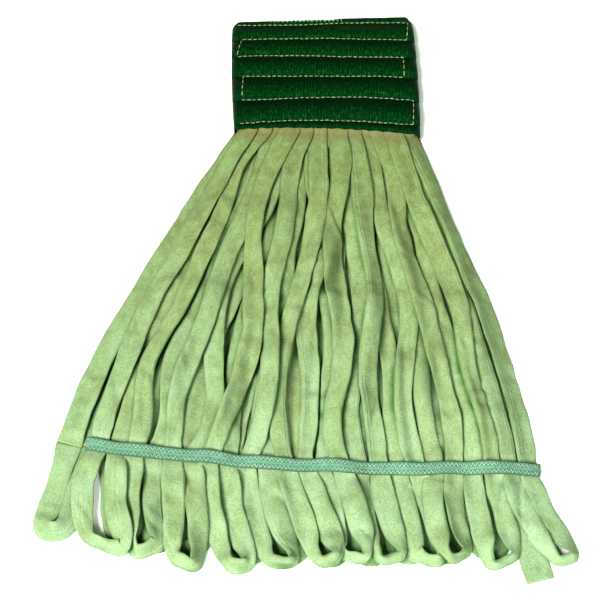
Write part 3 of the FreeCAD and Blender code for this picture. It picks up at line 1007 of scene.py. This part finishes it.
# The upper and lower bodies and the start and end of a bend for a skirt's legs, which bend() does not use.
LEG_BEND = {"front": ("back_skirt", "front_skirt", MOUTH, MOUTH - 50),
            "back": ("headband", "back_skirt", MOUTH + 4, MOUTH - 10)}


def bend(piece, node, upper, lower, start, end, fill):
    """Puts tubes in a CAD node's place, which it hides, and bakes their transform into their points. The
    upper and lower bodies are not used.
    """
    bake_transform(piece)
    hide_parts(node)


def make_tubes():
    """Lays every tube, and makes the pieces of the legs, the loops and the cut end in place of their CAD
    nodes.
    """
    i, j = np.meshgrid(*(np.arange(size) for size in ground.height.shape), indexing="ij")
    off = np.abs(ground.low[1] + j - tape_line(ground.low[0] + i))
    ground.height = np.where(np.abs(ground.low[0] + i) < TAPES["back"][1][0], 1.3 * ease((12 - off) / 6), 0)
    back_legs, back_rounds, back_courses = lay_skirt("back", back_loops())
    tail = cut_end(back_legs[-1], back_courses[-1])
    front_legs, front_rounds, _ = lay_skirt("front", front_loops())
    skirts = {"front": (front_legs, front_rounds), "back": (back_legs, [*back_rounds, tail])}
    settle([tube for legs, rounds in skirts.values() for tube in [*legs, *rounds]])
    tops = {}
    for side in ("back", "front"):
        legs, rounds = skirts[side]
        for tube in [*legs, *rounds]:
            cover.cover(tube.points())
        tops[side] = cover.softened(1, 2.5)
    for side, (legs, rounds) in skirts.items():
        heights = tops[side], tops["front"]
        for number in range((LEGS[side] + 1) // 2):
            pair = legs[2 * number:2 * number + 2]
            piece = join_tubes(f"{side}_tube_pair_{number + 1:02d}", pair, 0.3, *heights)
            bend(piece, f"{side}_strand_{number + 1:02d}", *LEG_BEND[side], 0.3)
        for number, tube in enumerate(rounds):
            cut = tube is tail
            name = "back_tail_end" if cut else f"{side}_loop_{number + 1:02d}"
            piece = join_tubes(name, [tube], 0.2, *heights)
            node = "back_cut_end" if cut else f"{side}_tail_loop_{number + 1:02d}"
            bend(piece, node, f"{side}_skirt", f"{side}_fringe", FLEX + 1, FLEX - 22, 0.35)


# -------- tail tapes

TAPE_SPARE = {"front": 3.0, "back": 0.0}


def tape_sway(x):
    """The small waves of a tape's line, where its sewing draws it up."""
    return 0.5 * np.sin(x / 19 + 1) + 0.35 * np.sin(x / 8.3)


def tape(side, height):
    """A twill tape over or under the tubes, with two zigzag rows. height gives the face it lies on."""
    low = TAPES[side][0][0] - TAPE_SPARE[side]
    high = TAPES[side][1][0] + TAPE_SPARE[side]
    along = np.arange(low, high, 1.0)
    across = np.linspace(-TAPE_WIDTH / 2, TAPE_WIDTH / 2, 13)
    x, w = np.meshgrid(along, across)
    y = tape_line(x) + w + tape_sway(x)
    z = height(x, y)
    # The grid is the outer face: the top of the front tape, and the underside of the back one.
    order = 1 if side == "front" else -1
    grid = np.stack([x, y, z + TAPE_THICKNESS if side == "front" else z], 2)[::order]
    sheet = make_sheet(f"{side}_tape", grid, TAPE_THICKNESS, TAPE, np.stack([x, w], 2)[::order])
    stand_for(sheet, f"{side}_skirt", f"{side}_tail_tape")
    run = np.arange(low + 1.5, high - 1.5, ZIGZAG_PITCH / 6)
    phase = (run / ZIGZAG_PITCH) % 1
    swing = np.clip(2.6 * (np.abs(phase * 2 - 1) - 0.5), -1, 1) * ZIGZAG_HALF
    # The thread dives a little into the tape at each tooth.
    out = ZIGZAG_RADIUS * 0.7 - 0.16 * np.abs(swing) / ZIGZAG_HALF
    lift = TAPE_THICKNESS + out if side == "front" else -out
    courses = []
    for row in (-ZIGZAG_ROW, ZIGZAG_ROW):
        y = tape_line(run) + row + tape_sway(run) + swing
        courses.append(np.column_stack([run, y, height(run, y) + lift]))
    threads = make_threads(f"{side}_tape_zigzag", courses, [ZIGZAG_RADIUS] * 2, TAPE_THREAD)
    stand_for(threads, f"{side}_skirt", f"{side}_tail_stitching")


# -------- floor and light

FLOOR, FLOOR_Z, FLOOR_COLOUR = 200000.0, -0.2, (0.95, 0.95, 0.95)
# The glow stands in for the green light that the strands throw into each other's gaps.
GLOW_COLOUR, GLOW_STRENGTH = (0.58, 1.0, 0.48), 0.34
LIT_POINT = Vector((0, -0.22, 0))
KEY_PLACE, KEY_POWER, KEY_ANGLE = (-1.7, -1.6, 2.8), 8.1, math.radians(30)
FILL_PLACE, FILL_POWER, FILL_SIZE = (0.5, -1.9, 1.3), 30, 0.8


def make_light(name, kind, place, power):
    """A light at a place, aimed at the middle of the mop."""
    data = bpy.data.lights.new(name, kind)
    data.energy = power
    light = bpy.data.objects.new(name, data)
    light.location = place
    aim = LIT_POINT - light.location
    light.rotation_euler = aim.to_track_quat("-Z", "Y").to_euler()
    bpy.context.scene.collection.objects.link(light)
    return data


def make_stage():
    """A pale floor, a soft sun, a fill lamp, and a glowing world that the camera sees as white."""
    material, tree, shader = new_material("floor")
    put(tree, shader.inputs["Base Color"], FLOOR_COLOUR)
    put(tree, shader.inputs["Roughness"], 0.9)
    corners = [(x * FLOOR, y * FLOOR, FLOOR_Z) for x, y in ((-1, -1), (1, -1), (1, 1), (-1, 1))]
    floor = make_mesh("floor", corners, [(0, 1, 2, 3)], material)
    world = bpy.data.worlds.new("world")
    world.use_nodes = True
    tree = world.node_tree
    glow = tree.nodes["Background"]
    put(tree, glow.inputs["Color"], GLOW_COLOUR)
    put(tree, glow.inputs["Strength"], GLOW_STRENGTH)
    seen = add(tree, "ShaderNodeBackground", {"Color": (1.0, 1.0, 1.0)})
    direct = add(tree, "ShaderNodeLightPath").outputs["Is Camera Ray"]
    both = add(tree, "ShaderNodeMixShader", {0: direct, 1: glow.outputs[0], 2: seen.outputs[0]})
    tree.links.new(both.outputs[0], tree.nodes["World Output"].inputs["Surface"])
    bpy.context.scene.world = world
    make_light("key", "SUN", KEY_PLACE, KEY_POWER).angle = KEY_ANGLE
    make_light("fill", "AREA", FILL_PLACE, FILL_POWER).size = FILL_SIZE
    bpy.context.scene.view_settings.view_transform = "Standard"


make_camera()
front_mesh()
back_mesh()
stitches("headband_front_stitches", "headband_front_stitching", front_face)
stitches("headband_back_stitches", "headband_back_stitching", back_face)
selvedge_loops()
for side in ("front", "back"):
    strand_ends(side)
make_tubes()
taut = cover.softened(6, 4.5)
tape("front", lambda x, y: cover.read(taut, x, y) + 0.1)
tape("back", lambda x, y: np.full_like(x, 0.35))
make_stage()
